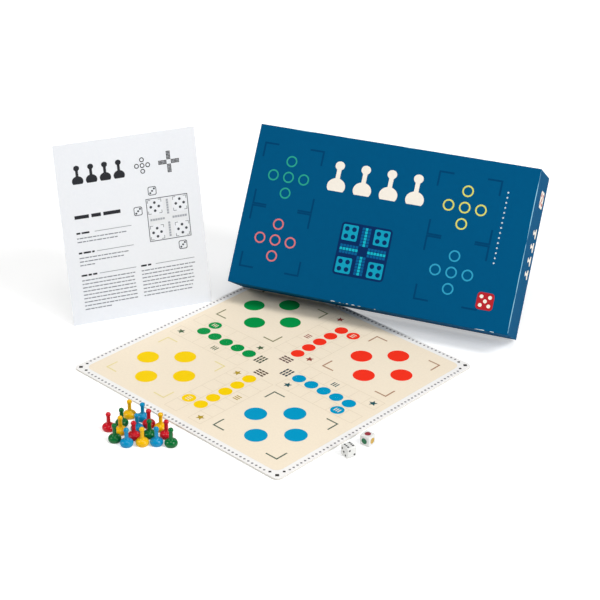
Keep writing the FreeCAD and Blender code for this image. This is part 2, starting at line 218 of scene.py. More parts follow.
@dataclass(frozen=True)
class WornFinish(FibreFinish):
    """Printed paper over the edges of a box, rubbed pale along them in patches, with a painted highlight
    along the right end's edge.

    The distance to the nearest edge is the middle one of the distances to the box's three pairs of
    sides. The paper is pale where that is less than the wear, which comes and goes by a broad noise
    and is widest at the right end: there the pale edge is partly wear from hands and partly a painted
    highlight, where the rounded edge catches the light. The foot is clean but for white scuffs, where
    the box has been set down.
    """

    rubbed: str = "#8CC0D4"  # sRGB hex of the bared paper, also the colour of the painted highlight along the right end's edge
    scuffed: str = "#DCE3E4"  # sRGB hex of the scuffs
    scuffs: tuple[Pair, ...] = ((-14.0, 29.0), (151.0, 13.0))  # middles and half lengths
    wear: float = 1.0  # widest reach of the wear
    least_wear: float = 0.1  # share of that reach where the box isn't rubbed
    patch: float = 30.0  # length of a worn stretch
    rubbing: Pair = (0.5, 0.7)  # levels of the broad noise from least to widest wear
    tearing: Pair = (0.42, 0.56)  # levels of the finer noise that tears a scuff
    flecks: float = 4.0  # torn flecks along a worn stretch
    end_share: float = 0.97  # share of the half box where its right end and its foot begin
    highlight_and_handling: float = 0.2  # added to the noise at the right end, for wear from hands and a painted highlight along that edge, and taken away at the foot
    setting_down: float = 0.3  # added to the noise in a scuff
    fading: Pair = (0.5, 1.0)  # shares of the wear over which bare paper gives way to print
    middle: Triple = (0.0, 0.0, 0.0)  # middle of the box in metres
    turn: Triple = (0.0, 0.0, 0.0)  # turn of the box as Euler angles
    half: Triple = (1.0, 1.0, 1.0)  # half of its three sides in metres

    def vary(self, tree: NodeTree, shader: Node, noise: Node) -> None:
        """Mottle the print, then bare the paper near the edges.

        Args:
            tree: Nodes to add to.
            shader: Shader that they feed.
            noise: Fine noise of the fibres.
        """
        super().vary(tree, shader, noise)
        printed = shader.inputs["Base Color"].links[0].from_socket
        place = add_node(tree, "TexCoord").outputs["Object"]
        stance = {"Vector": place, "Location": self.middle, "Rotation": self.turn}
        turned = add_node(tree, "Mapping", stance, vector_type="TEXTURE")
        reach = add_node(tree, "VectorMath", {0: turned}, operation="ABSOLUTE")
        inset = add_node(tree, "VectorMath", {0: self.half, 1: reach}, operation="SUBTRACT")
        across, along, deep = add_node(tree, "SeparateXYZ", {"Vector": inset}).outputs
        nearer = add_node(tree, "Math", {0: across, 1: along}, operation="MINIMUM")
        further = add_node(tree, "Math", {0: across, 1: along}, operation="MAXIMUM")
        lesser = add_node(tree, "Math", {0: further, 1: deep}, operation="MINIMUM")
        edge = add_node(tree, "Math", {0: nearer, 1: lesser}, operation="MAXIMUM")
        patch = self.patch * MM
        patches, flecks = (
            add_node(tree, "TexNoise", {"Vector": place, "Scale": count / patch, "Detail": detail})
            for count, detail in ((1, 3.0), (self.flecks, 2.0))
        )
        ends = add_node(tree, "SeparateXYZ", {"Vector": turned}).outputs
        # The rise of the noise at the right end paints a highlight along that edge as well as wear from
        # hands
        end_highlight_and_wear, foot = (
            add_node(tree, "MapRange", dict(zip(RANGE, (ends[axis], self.end_share * end, end, 0.0, most))))
            for axis, end, most in (("X", self.half[0], self.highlight_and_handling), ("Y", -self.half[1], 1.0))
        )
        torn = add_node(tree, "MapRange", dict(zip(RANGE, (flecks, *self.tearing))))
        scuff = add_node(tree, "Math", {0: self.stretches(tree, ends["X"]), 1: torn}, operation="MULTIPLY")
        set_down = add_node(tree, "Math", {0: scuff, 1: foot}, operation="MULTIPLY")
        kept = add_node(tree, "Math", {0: foot, 1: -self.highlight_and_handling, 2: end_highlight_and_wear}, operation="MULTIPLY_ADD")
        scuffing = {0: set_down, 1: self.setting_down, 2: kept}
        # Wear and painted highlight at the right end, less at the foot, plus the scuffs
        handled = add_node(tree, "Math", scuffing, operation="MULTIPLY_ADD")
        rubbing = add_node(tree, "Math", {0: patches, 1: handled}, operation="ADD")
        wear = (self.least_wear * self.wear * MM, self.wear * MM)
        width = add_node(tree, "MapRange", dict(zip(RANGE, (rubbing, *self.rubbing, *wear))))
        wider = add_node(tree, "Math", {0: width, 1: set_down, 2: width}, operation="MULTIPLY_ADD")
        share = add_node(tree, "Math", {0: edge, 1: wider}, operation="DIVIDE")
        bare = add_node(tree, "MapRange", dict(zip(RANGE, (share, *self.fading, 1.0, 0.0))))
        papers = {"Factor": set_down, "A": linear(self.rubbed), "B": linear(self.scuffed)}
        paper = add_node(tree, "Mix", papers, data_type="RGBA")
        tone = add_node(tree, "Mix", {"Factor": bare, "A": printed, "B": paper}, data_type="RGBA")
        tree.links.new(tone.outputs["Result"], shader.inputs["Base Color"])

    def stretches(self, tree: NodeTree, along: NodeSocket) -> Node | float:
        """Mark the scuffed stretches.

        Args:
            tree: Nodes to add to.
            along: Place along the box in metres.

        Returns:
            1 in a scuff and 0 elsewhere.
        """
        found = 0.0
        for middle, reach in self.scuffs:
            near = add_node(tree, "Math", {0: along, 1: middle * MM, 2: reach * MM}, operation="COMPARE")
            found = add_node(tree, "Math", {0: found, 1: near}, operation="MAXIMUM")
        return found


# Coated art paper, printed and satin varnished: even white with a soft sheen
ART_PAPER = FibreFinish("coated_art_paper", "#F4F2EF", 0.5, 0.15, grain=0.9, relief=0.004, shade="#EFEDEA")
# Plain paper pasted under the board: dull and a little grey
LINING_PAPER = FibreFinish("lining_paper", "#ECEBE7", 0.8, 0.2, grain=1.2, relief=0.01, shade="#E2E1DC")
# Solid bleached board of the two halves: its pale cut edges frame the print
BLEACHED_BOARD = FibreFinish("bleached_board", "#E9E6E0", 0.9, 0.2, grain=1.3, relief=0.03, shade="#DFDBD3")
# Recycled greyboard, raw where the paper ends: flecked and dull
GREYBOARD = FibreFinish("greyboard", "#9A958B", 0.95, 0.2, grain=1.6, relief=0.05, shade="#7E786E")
# Blue printed wrap under a matt laminate, which scatters its reflection: deep colour, hardly any sheen
LAMINATE = {"roughness": 0.6, "sheen": 0.01}
WRAP_PAPER = FibreFinish(
    "laminated_wrap_paper", "#02527C", **LAMINATE, grain=2.5, relief=0.006, shade="#024D76"
)
# Brown gummed paper tape at the corners of the board shells: warm against the greyboard
STAY_TAPE = FibreFinish("gummed_paper_tape", "#A98761", 0.85, 0.2, grain=1.4, relief=0.02, shade="#9C7A55")
# Uncoated offset paper of the rules: cool white and dull
OFFSET_PAPER = FibreFinish(
    "uncoated_offset_paper", "#EBEDF1", 0.85, 0.1, grain=1.1, relief=0.008, shade="#E4E7EC"
)
# Acrylic dice, tumbled smooth: bright white with a clear gloss
DIE_ACRYLIC = GlossFinish("tumbled_acrylic", "#E1E1DE", 0.15, ior=1.49, grain=1.5, relief=0.004)
# Enamel brushed into the pips: near black, so that they count at a glance
PIP_PAINT = GlossFinish("black_pip_enamel", "#26262A", 0.35, 0.3, grain=0.6, dulled=0.6)


def ink(name: str, colour: str, roughness: float = 0.5, sheen: float = 0.05) -> FibreFinish:
    """Offset ink, through which the paper's fibres show a little: as rough and glossy as what is over it."""
    shade = toned(colour, FIBRE_TONE)
    return FibreFinish(f"offset_ink_{name}", colour, roughness, sheen, grain=0.9, relief=0.004, shade=shade)


# Two inks of the box's small signs, under the wrap's own matt laminate: bright against the blue
SIGN_RED = ink("box_red", "#B3262E", **LAMINATE)
SIGN_CREAM = ink("box_cream", "#EFE8DC", **LAMINATE)


@dataclass(frozen=True)
class TeamLook:
    """How one player's colour appears on each piece, in sRGB hex."""

    name: str  # the colour's plain name
    outward: Pair  # direction of the player's arm from the middle of the board
    disc: str  # printed discs
    bracket: str  # brackets of the yard
    sign: str  # small signs along the track
    bar: str  # bars at the inner end of the arm
    ring: str  # rings on the box
    plastic: str  # pawns

    @property
    def axes(self) -> np.ndarray:
        """Rows along the arm and across it, to the side of the player's yard."""
        along = np.array(self.outward)
        return np.stack([along, np.array([along[1], -along[0]])])


class Team(Enum):
    """The four players, in the order of play."""

    GREEN = TeamLook("green", (-1, 0), "#049447", "#85845F", "#4C6646", "#3F4A35", "#299D86", "#006B30")
    RED = TeamLook("red", (0, 1), "#F8341F", "#AD8568", "#98433B", "#5C3C3A", "#D67478", "#CC1424")
    BLUE = TeamLook("blue", (1, 0), "#0098C5", "#5C6A5C", "#2B585E", "#3C464B", "#2F9BBE", "#008EC0")
    YELLOW = TeamLook("yellow", (0, -1), "#FBD200", "#ECDC9C", "#B59A33", "#54402D", "#D3D168", "#EFB800")


def about(middles: Places, steps: np.ndarray) -> np.ndarray:
    """Every sum of a middle and a step, one place a row."""
    return (np.reshape(middles, (-1, 1, 2)) + steps).reshape(-1, 2)


def pairs(first: Places, second: Places) -> np.ndarray:
    """Every pair of a value from the first row and one from the second, one pair a row."""
    return np.stack(np.meshgrid(first, second), axis=-1).reshape(-1, 2)


def in_four(places: np.ndarray) -> np.ndarray:
    """Places turned about the middle by each quarter of a turn."""
    quarter = np.array([[0, 1], [-1, 0]])
    return np.concatenate([places @ np.linalg.matrix_power(quarter, turn) for turn in range(4)])


def row_of_four(middle: Places, step: float) -> np.ndarray:
    """Four places in a level row about a middle, a step apart."""
    return np.array(middle) + step * pairs(ROW_OF_FOUR, (0,))


def cross_of_five(middle: Places, step: float) -> np.ndarray:
    """Five places: one in the middle and one a step away each way."""
    return np.array(middle) + step * np.array([(0, 0), *WAYS])


def circle(radius: float, sides: int = ROUND_SIDES) -> np.ndarray:
    """Closed round outline, anticlockwise: cosine and sine of equal steps of a turn, times the radius."""
    turn = np.linspace(0, 2 * np.pi, sides, endpoint=False)
    return radius * np.stack([np.cos(turn), np.sin(turn)], axis=1)


def star(outer: float, inner: float, tips: int) -> np.ndarray:
    """Closed star: a round outline whose radius steps between two values, with a tip upwards.

    Args:
        outer: Radius of the tips.
        inner: Radius of the notches.
        tips: Number of tips.

    Returns:
        Corner points, anticlockwise.
    """
    turn = np.pi / 2 + np.arange(2 * tips) * np.pi / tips
    radius = np.where(np.arange(2 * tips) % 2, inner, outer)
    return np.stack([radius * np.cos(turn), radius * np.sin(turn)], axis=1)


def rectangle(width: float, height: float) -> np.ndarray:
    """Closed rectangle, anticlockwise from the lower left: half the sides times the four corner signs."""
    return -CORNERS * (width / 2, height / 2)


def rounded_square(side: float, radius: float) -> np.ndarray:
    """Closed square with round corners: four quarter circles about the inset corners.

    Args:
        side: Side of the square.
        radius: Radius of the corners.

    Returns:
        Corner points, anticlockwise.
    """
    quarter = np.linspace(0, np.pi / 2, ROUND_SIDES // 4)
    turn = (np.arange(4) * np.pi / 2)[:, None] + quarter
    arcs = radius * np.stack([np.cos(turn), np.sin(turn)], axis=2)
    return (((side / 2 - radius) * CORNERS)[:, None, :] + arcs).reshape(-1, 2)


def bracket(arm: float, line: float) -> np.ndarray:
    """Closed L, anticlockwise, whose outer corner is at the middle and whose arms run left and down."""
    return np.array([(0, 0), (-arm, 0), (-arm, -line), (-line, -line), (-line, -arm), (0, -arm)])


def pawn_outline(height: float) -> np.ndarray:
    """Closed side view of a pawn: at each height the widest of a bulb, a neck and a ball head.

    The bulb and the head are ellipses, the neck is a straight stem, and the left side mirrors the
    right. Their sizes are shares of the pawn's height.

    Args:
        height: Height of the pawn, which stands on the middle.

    Returns:
        Corner points, anticlockwise.
    """
    rise = np.linspace(0, 1, ROUND_SIDES)
    bulb, head = (
        wide * np.sqrt(np.clip(1 - ((rise - middle) / tall) ** 2, 0, None))
        for wide, middle, tall in ((0.31, 0.16, 0.27), (0.16, 0.85, 0.15))
    )
    stem = np.where(rise < 0.9, 0.075, 0)
    reach = np.maximum(np.maximum(bulb, stem), head)
    right = np.stack([reach, rise], axis=1)
    return height * np.concatenate([right, (right * (-1, 1))[-2::-1]])


def band(outer: np.ndarray, inner: np.ndarray) -> np.ndarray:
    """Four-sided faces between paired rows of closed loops: each point, the next, and their partners."""
    corners = [outer, np.roll(outer, -1, 1), np.roll(inner, -1, 1), inner]
    return np.stack(corners, axis=2).reshape(-1, 4)


@dataclass(frozen=True)
class Motif:
    """Shapes printed on one face."""

    points: np.ndarray  # points across, upwards and off the face
    faces: tuple[np.ndarray, ...]  # arrays of point numbers, one row for each shape

    @classmethod
    def stamped(
        cls,
        outline: np.ndarray,
        places: Places = ((0.0, 0.0),),
        turns: float | np.ndarray = 0.0,
        hole: np.ndarray | None = None,
    ) -> "Motif":
        """Repeat a closed outline: each copy is turned about its own middle and moved to its place.

        With a hole, a copy is the band of four-sided faces between the two outlines, point by point.

        Args:
            outline: Corner points of the shape.
            places: Middle of each copy.
            turns: Turn of each copy, or of all, in degrees.
            hole: Inner outline with as many points.

        Returns:
            The copies as one motif.
        """
        middles = np.asarray(places, float).reshape(-1, 2)
        angle = np.broadcast_to(np.radians(turns), len(middles))
        cos, sin = np.cos(angle), np.sin(angle)
        turn = np.stack([np.stack([cos, -sin], 1), np.stack([sin, cos], 1)], 1)
        loops = np.stack([outline] if hole is None else [outline, hole])
        copies = np.einsum("mij,lnj->mlni", turn, loops) + middles[:, None, None, :]
        numbers = np.arange(copies.size // 2).reshape(copies.shape[:3])
        rows = numbers[:, 0] if hole is None else band(numbers[:, 0], numbers[:, 1])
        flat = copies.reshape(-1, 2)
        return cls(np.column_stack([flat, np.zeros(len(flat))]), (rows,))

    @classmethod
    def rings(cls, radius: float, line: float, places: Places) -> "Motif":
        """Round lines: the bands between a circle and a smaller one."""
        return cls.stamped(circle(radius), places, hole=circle(radius - line))

    @classmethod
    def brackets(cls, middles: Places, reach: float, sizes: Pair) -> "Motif":
        """Four brackets round each middle, a reach away both ways and turned to face it."""
        turns = np.tile(QUARTER_TURNS, np.size(middles) // 2)
        return cls.stamped(bracket(*sizes), about(middles, reach * CORNERS), turns)

    @classmethod
    def cups(cls, radius: float, depth: float, places: Places) -> "Motif":
        """Round paint-filled hollows: a circle sunk by the depth, and a band up to the same circle above.

        Args:
            radius: Radius of a hollow.
            depth: Depth of a hollow below the face.
            places: Middle of each hollow.

        Returns:
            The hollows as one motif.
        """
        rim = np.asarray(places, float).reshape(-1, 1, 2) + circle(radius)
        level = np.zeros((*rim.shape[:2], 1))
        loops = np.stack([np.dstack([rim, level]), np.dstack([rim, level - depth])], axis=1)
        numbers = np.arange(loops.size // 3).reshape(loops.shape[:3])
        return cls(loops.reshape(-1, 3), (numbers[:, 1], band(numbers[:, 0], numbers[:, 1])))

    @classmethod
    def ludo_cross(cls, middle: Places, cell: float, columns: Sequence[int]) -> "Motif":
        """Squares of a ludo track: four arms of six rows round an open middle.

        Args:
            middle: Middle of the cross.
            cell: Spacing of the squares, which are a little smaller.
            columns: Columns of each arm, counted from its middle.

        Returns:
            The squares as one motif.
        """
        places = np.array(middle) + cell * in_four(pairs(np.arange(2, 8), columns))
        return cls.stamped(SQUARE_SHARE * rectangle(cell, cell), places)

    @classmethod
    def joined(cls, *motifs: "Motif") -> "Motif":
        """Several motifs as one, each numbered on from the last."""
        starts = np.cumsum([0, *(len(motif.points) for motif in motifs[:-1])])
        return cls(
            np.concatenate([motif.points for motif in motifs]),
            tuple(rows + start for motif, start in zip(motifs, starts) for rows in motif.faces),
        )

    def cut_at_fold(self, side: float, height: float) -> "Motif":
        """The part on one side of the face's level middle line.

        A point past the crease's edge is drawn straight back to it, and a shape left with no area goes.
        From each cut edge a strip slopes down almost to the paper at the line, so that the inks of the
        two halves meet there at rest and stay clear of each other as the board folds.

        Args:
            side: 1 to keep what is above the line, -1 for what is below.
            height: Height of the motif above the paper.

        Returns:
            The motif that is left.
        """
        points = self.points.copy()
        past = side * points[:, 1] < CREASE
        points[past, 1] = side * CREASE
        level = side * CREASE * np.array([CREASE_BARE, CREASE_BARE, 1, 1])[::round(side)]
        drop = height * (CREASE_BARE - 1) * np.array([1, 1, 0, 0])[::round(side)]
        kept, strips = [], []
        for rows in self.faces:
            x, y = points[rows, 0], points[rows, 1]
            area = np.abs((x * np.roll(y, -1, 1) - y * np.roll(x, -1, 1)).sum(axis=1)) / 2
            whole = area > LEAST_AREA
            kept.append(rows[whole])
            cut = whole & past[rows].any(axis=1)
            left = np.where(past[rows], x, np.inf).min(axis=1)[cut]
            right = np.where(past[rows], x, -np.inf).max(axis=1)[cut]
            ends = np.stack([left, right, right, left], axis=1)
            strips.append(np.dstack([ends, *np.broadcast_arrays(level, drop, ends)[:2]]).reshape(-1, 3))
        used = np.unique(np.concatenate([rows.ravel() for rows in kept]))
        flaps = np.concatenate(strips)
        part = Motif(points[used], tuple(np.searchsorted(used, rows) for rows in kept))
        return Motif.joined(part, Motif(flaps, (np.arange(len(flaps)).reshape(-1, 4),)))


def node_points(node: str) -> np.ndarray:
    """Read the points of a CAD node's mesh.

    Args:
        node: Name of the node.

    Returns:
        Points in the row frame, in millimetres.
    """
    mesh = frame["nodes"][node].data
    points = np.empty(3 * len(mesh.vertices))
    mesh.vertices.foreach_get("co", points)
    return points.reshape(-1, 3) / MM


@dataclass(frozen=True)
class Face:
    """A flat side of a CAD node."""

    middle: np.ndarray  # middle of the side in the row frame
    across: np.ndarray  # direction across the side
    rise: np.ndarray  # direction up the side
    normal: np.ndarray  # direction out of the side
    width: float  # size across
    height: float  # size upwards

    @classmethod
    def of_nodes(cls, nodes: Sequence[str], normal: np.ndarray, across: np.ndarray) -> "Face":
        """Find a side from the reach of the nodes' points along its three directions.

        Args:
            nodes: CAD nodes that the side belongs to.
            normal: Direction out of the side.
            across: Direction across it.

        Returns:
            The side that lies furthest out.
        """
        axes = np.stack([across, np.cross(normal, across), normal])
        points = np.concatenate([node_points(node) for node in nodes]) @ axes.T
        low, high = points.min(axis=0), points.max(axis=0)
        middle = np.array([*(low[:2] + high[:2]) / 2, high[2]]) @ axes
        return cls(middle, *axes, *(high - low)[:2])

    def lay(self, points: np.ndarray, lift: float) -> np.ndarray:
        """Carry points across, upwards and off the side into the row frame, lifted, in metres."""
        axes = np.stack([self.across, self.rise, self.normal])
        return (self.middle + (points + (0, 0, lift)) @ axes) * MM


def add_object(name: str, data: ID) -> Object:
    """Put a mesh, light or camera in the scene.

    Args:
        name: Name of the object.
        data: The mesh, light or camera.

    Returns:
        The object that holds it.
    """
    made = bpy.data.objects.new(name, data)
    bpy.context.scene.collection.objects.link(made)
    return made


def add_print(name: str, motif: Motif, face: Face, body: str, finish: Finish, layer: int = 1) -> None:
    """Make a motif a mesh that lies on a side and rides on a body.

    Args:
        name: Name of the piece.
        motif: Shapes to print.
        face: Side that takes them.
        body: CAD body that it moves with.
        finish: Ink or paint.
        layer: 1 for what is printed on the bare side, 2 for what lies over that, and so on.
    """
    mesh = bpy.data.meshes.new(name)
    rows = [row for part in motif.faces for row in part.tolist()]
    mesh.from_pydata(face.lay(motif.points, layer * INK_STEP).tolist(), [], rows)
    mesh.materials.append(finish.material())
    piece = add_object(name, mesh)
    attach(piece, body)
    LOG.info("%s: %d shapes on %s", name, len(rows), body)


def dress_node(node: str, finish: Finish) -> None:
    """Give a CAD node its material.

    Args:
        node: Name of the node.
        finish: What it is made of.
    """
    materials = frame["nodes"][node].data.materials
    materials.clear()
    materials.append(finish.material())
    LOG.info("%s: %s", node, finish.name)


class Half(Enum):
    """The two halves of the board, on each side of its fold."""

    FAR = 1
    NEAR = -1

    @property
    def word(self) -> str:
        """The half's name in the frame."""
        return self.name.lower()


@dataclass
class Board:
    """The folding board and all that is printed on it."""

    cell: float = 19.56  # spacing of the track's cells
    first_cell: float = 2.2  # the track's cell nought from the middle
    home_radius: float = 8.3  # discs along an arm
    home_cells: tuple[Pair, ...] = tuple((along, 0) for along in range(2, 7))  # home discs' cells
    start_cell: Pair = (6, 1)  # cell of the start disc
    star_cells: tuple[Pair, ...] = ((7, -1), (2, 1))  # cells of the stars
    bar_cell: Pair = (4, -1)  # cell of a sign's bars
    grid_reach: Pair = (1.5, 7.5)  # cells where the track's lines start and stop
    yard_middle: float = 90.3  # yards from both middle lines
    yard_step: float = 31.4  # a yard's discs from its middle
    yard_radius: float = 13.1  # a yard's discs
    yard_reach: float = 50.0  # a yard's brackets from its middle
    yard_bracket: Pair = (17.3, 1.9)  # length of a bracket's arms and width of its line
    margin: float = 10.5  # white margin round the tinted field
    field_round: float = 9.0  # corner radius of the tinted field
    edge_inset: float = 4.0  # the border's diamonds from the edge
    edge_pitch: float = 6.0  # spacing of the border's diamonds
    edge_stop: float = 2.5  # spacings between the last of them and the corner
    edge_diamond: float = 1.7  # half the width of a border diamond
    corner_diamonds: Pair = (3.0, 2.1)  # the same of those on a corner and beside it
    corner_inset: float = 0.4  # spacings from the border's corner to the diamond on it
    corner_aside: Pair = (2.1, 0.3)  # spacings from there to the two beside it
    grid_line: float = 0.6  # width of the track's faint lines
    dash: Pair = (2.6, 4.5)  # dashes at the inner end of an arm, along it and across
    dash_step: Pair = (4.3, 5.4)  # spacing of those dashes
    stars: tuple[float, float, int] = (5.6, 2.5, 5)  # radii of the stars' tips and notches, and their tips
    sign_bars: Triple = (1.5, 8.0, 3.2)  # width, length and spacing of a sign's bars
    disc_bars: Triple = (1.3, 6.4, 3.0)  # the same of those on a start disc
    face: Face = field(init=False)

    def build(self) -> None:
        """Print the board's layers on both halves."""
        sheets = [f"board_print_{half.word}" for half in Half]
        self.face = Face.of_nodes(sheets, UP, np.array([1.0, 0.0, 0.0]))
        side = self.face.width - 2 * self.margin
        cream = Motif.stamped(rounded_square(side, self.field_round))
        self.print_halves("field", cream, ink("cream_field", "#F6E8D0"))
        self.print_halves("border", self.border(), ink("border_grey", "#858386"))
        self.print_halves("corners", self.corners(), ink("corner_black", "#34322F"))
        grid = Motif.joined(*(self.on_arm(team, self.grid()) for team in Team))
        self.print_halves("grid", grid, ink("grid_line", "#E6D7BE"), 2)
        for team in Team:
            look = team.value
            for part, motif, colour, layer in (
                ("discs", self.discs(team), look.disc, 2),
                ("brackets", self.brackets(team), look.bracket, 2),
                ("signs", self.signs(team), look.sign, 2),
                ("middle_bars", self.middle_bars(team), look.bar, 2),
                ("start_bars", self.on_arm(team, self.bars(self.start_cell, *self.disc_bars)), "#F1E3C9", 3),
            ):
                self.print_halves(f"{look.name}_{part}", motif, ink(f"{look.name}_{part}", colour), layer)

    def dress(self) -> None:
        """Give each layer of the board its paper or board."""
        for half in Half:
            dress_node(f"board_print_{half.word}", ART_PAPER)
            dress_node(f"board_panel_{half.word}", BLEACHED_BOARD)
            dress_node(f"board_lining_{half.word}", LINING_PAPER)

    def print_halves(self, name: str, motif: Motif, finish: Finish, layer: int = 1) -> None:
        """Cut a motif at the fold and print each part on its own half.

        Args:
            name: What is printed.
            motif: Shapes over the whole board.
            finish: Ink.
            layer: Height in layers of ink.
        """
        for half in Half:
            part = motif.cut_at_fold(half.value, layer * INK_STEP)
            if len(part.points):
                body = f"board_{half.word}"
                add_print(f"board_{name}_{half.word}", part, self.face, body, finish, layer)

    def on_arm(self, team: Team, motif: Motif) -> Motif:
        """Carry a motif drawn along an arm onto one player's arm."""
        turned = np.column_stack([motif.points[:, :2] @ team.value.axes, motif.points[:, 2]])
        return Motif(turned, tuple(rows[:, ::-1] for rows in motif.faces))

    def arm_places(self, cells: Places) -> np.ndarray:
        """Places along and across an arm from cell counts: a steady spacing from the first cell on."""
        counts = np.array(cells, float)
        return counts * self.cell + np.where(counts != 0, self.first_cell, 0) * (1, 0)

    def yard_places(self, team: Team, steps: np.ndarray | float) -> np.ndarray:
        """Places in one player's yard, from steps off its middle."""
        return self.yard_middle * team.value.axes.sum(axis=0) + steps

    def discs(self, team: Team) -> Motif:
        """A player's four yard discs, five home discs and start disc."""
        home = Motif.stamped(circle(self.home_radius), self.arm_places((*self.home_cells, self.start_cell)))
        return Motif.joined(
            Motif.stamped(circle(self.yard_radius), self.yard_places(team, self.yard_step * WAYS)),
            self.on_arm(team, home),
        )

    def brackets(self, team: Team) -> Motif:
        """Four brackets round a player's yard, turned to face its middle."""
        return Motif.brackets(self.yard_places(team, 0), self.yard_reach, self.yard_bracket)

    def signs(self, team: Team) -> Motif:
        """Small signs by the track: two stars and a set of bars."""
        stars = Motif.stamped(star(*self.stars), self.arm_places(self.star_cells), 90.0)
        return self.on_arm(team, Motif.joined(stars, self.bars(self.bar_cell, *self.sign_bars)))

    def bars(self, cell: Pair, width: float, length: float, step: float) -> Motif:
        """Three bars side by side in one cell of an arm, across it."""
        places = self.arm_places([cell]) + step * pairs((-1, 0, 1), (0,))
        return Motif.stamped(rectangle(width, length), places)

    def middle_bars(self, team: Team) -> Motif:
        """Three broken bars across a player's arm at its inner end, each of three dashes."""
        places = self.arm_places([(1, 0)]) + self.dash_step * pairs((-1, 0, 1), (-1, 0, 1))
        return self.on_arm(team, Motif.stamped(rectangle(*self.dash), places))

    def grid(self) -> Motif:
        """Faint lines of one arm: four along it, and short ones between its outer cells.

        Returns:
            The lines as one motif.
        """
        first, last = self.grid_reach
        start, stop = self.arm_places([(first, 0), (last, 0)])[:, 0]
        middles = pairs(((start + stop) / 2,), ROW_OF_FOUR * self.cell)
        long_lines = Motif.stamped(rectangle(stop - start, self.grid_line), middles)
        ticks = self.arm_places(pairs(np.arange(first, last + 1), ARM_SIDES))
        return Motif.joined(long_lines, Motif.stamped(rectangle(self.grid_line, self.cell), ticks))

    def border(self) -> Motif:
        """Rows of small diamonds along the four edges, stopping short of the corners.

        Returns:
            The diamonds as one motif.
        """
        reach = self.face.width / 2 - self.edge_inset
        count = int(reach / self.edge_pitch - self.edge_stop)
        edge = pairs(np.arange(-count, count + 1) * self.edge_pitch, (-reach,))
        return Motif.stamped(circle(self.edge_diamond, DIAMOND), in_four(edge))

    def corners(self) -> Motif:
        """Larger diamonds at each corner: one just inside it and one beside it each way.

        Returns:
            The diamonds as one motif.
        """
        reach = self.face.width / 2 - self.edge_inset
        on, beside = (circle(size, DIAMOND) for size in self.corner_diamonds)
        aside = reach - self.edge_pitch * np.array([self.corner_aside, self.corner_aside[::-1]])
        on_places = (reach - self.corner_inset * self.edge_pitch) * CORNERS
        beside_places = (CORNERS[:, None, :] * aside).reshape(-1, 2)
        return Motif.joined(Motif.stamped(on, on_places), Motif.stamped(beside, beside_places))


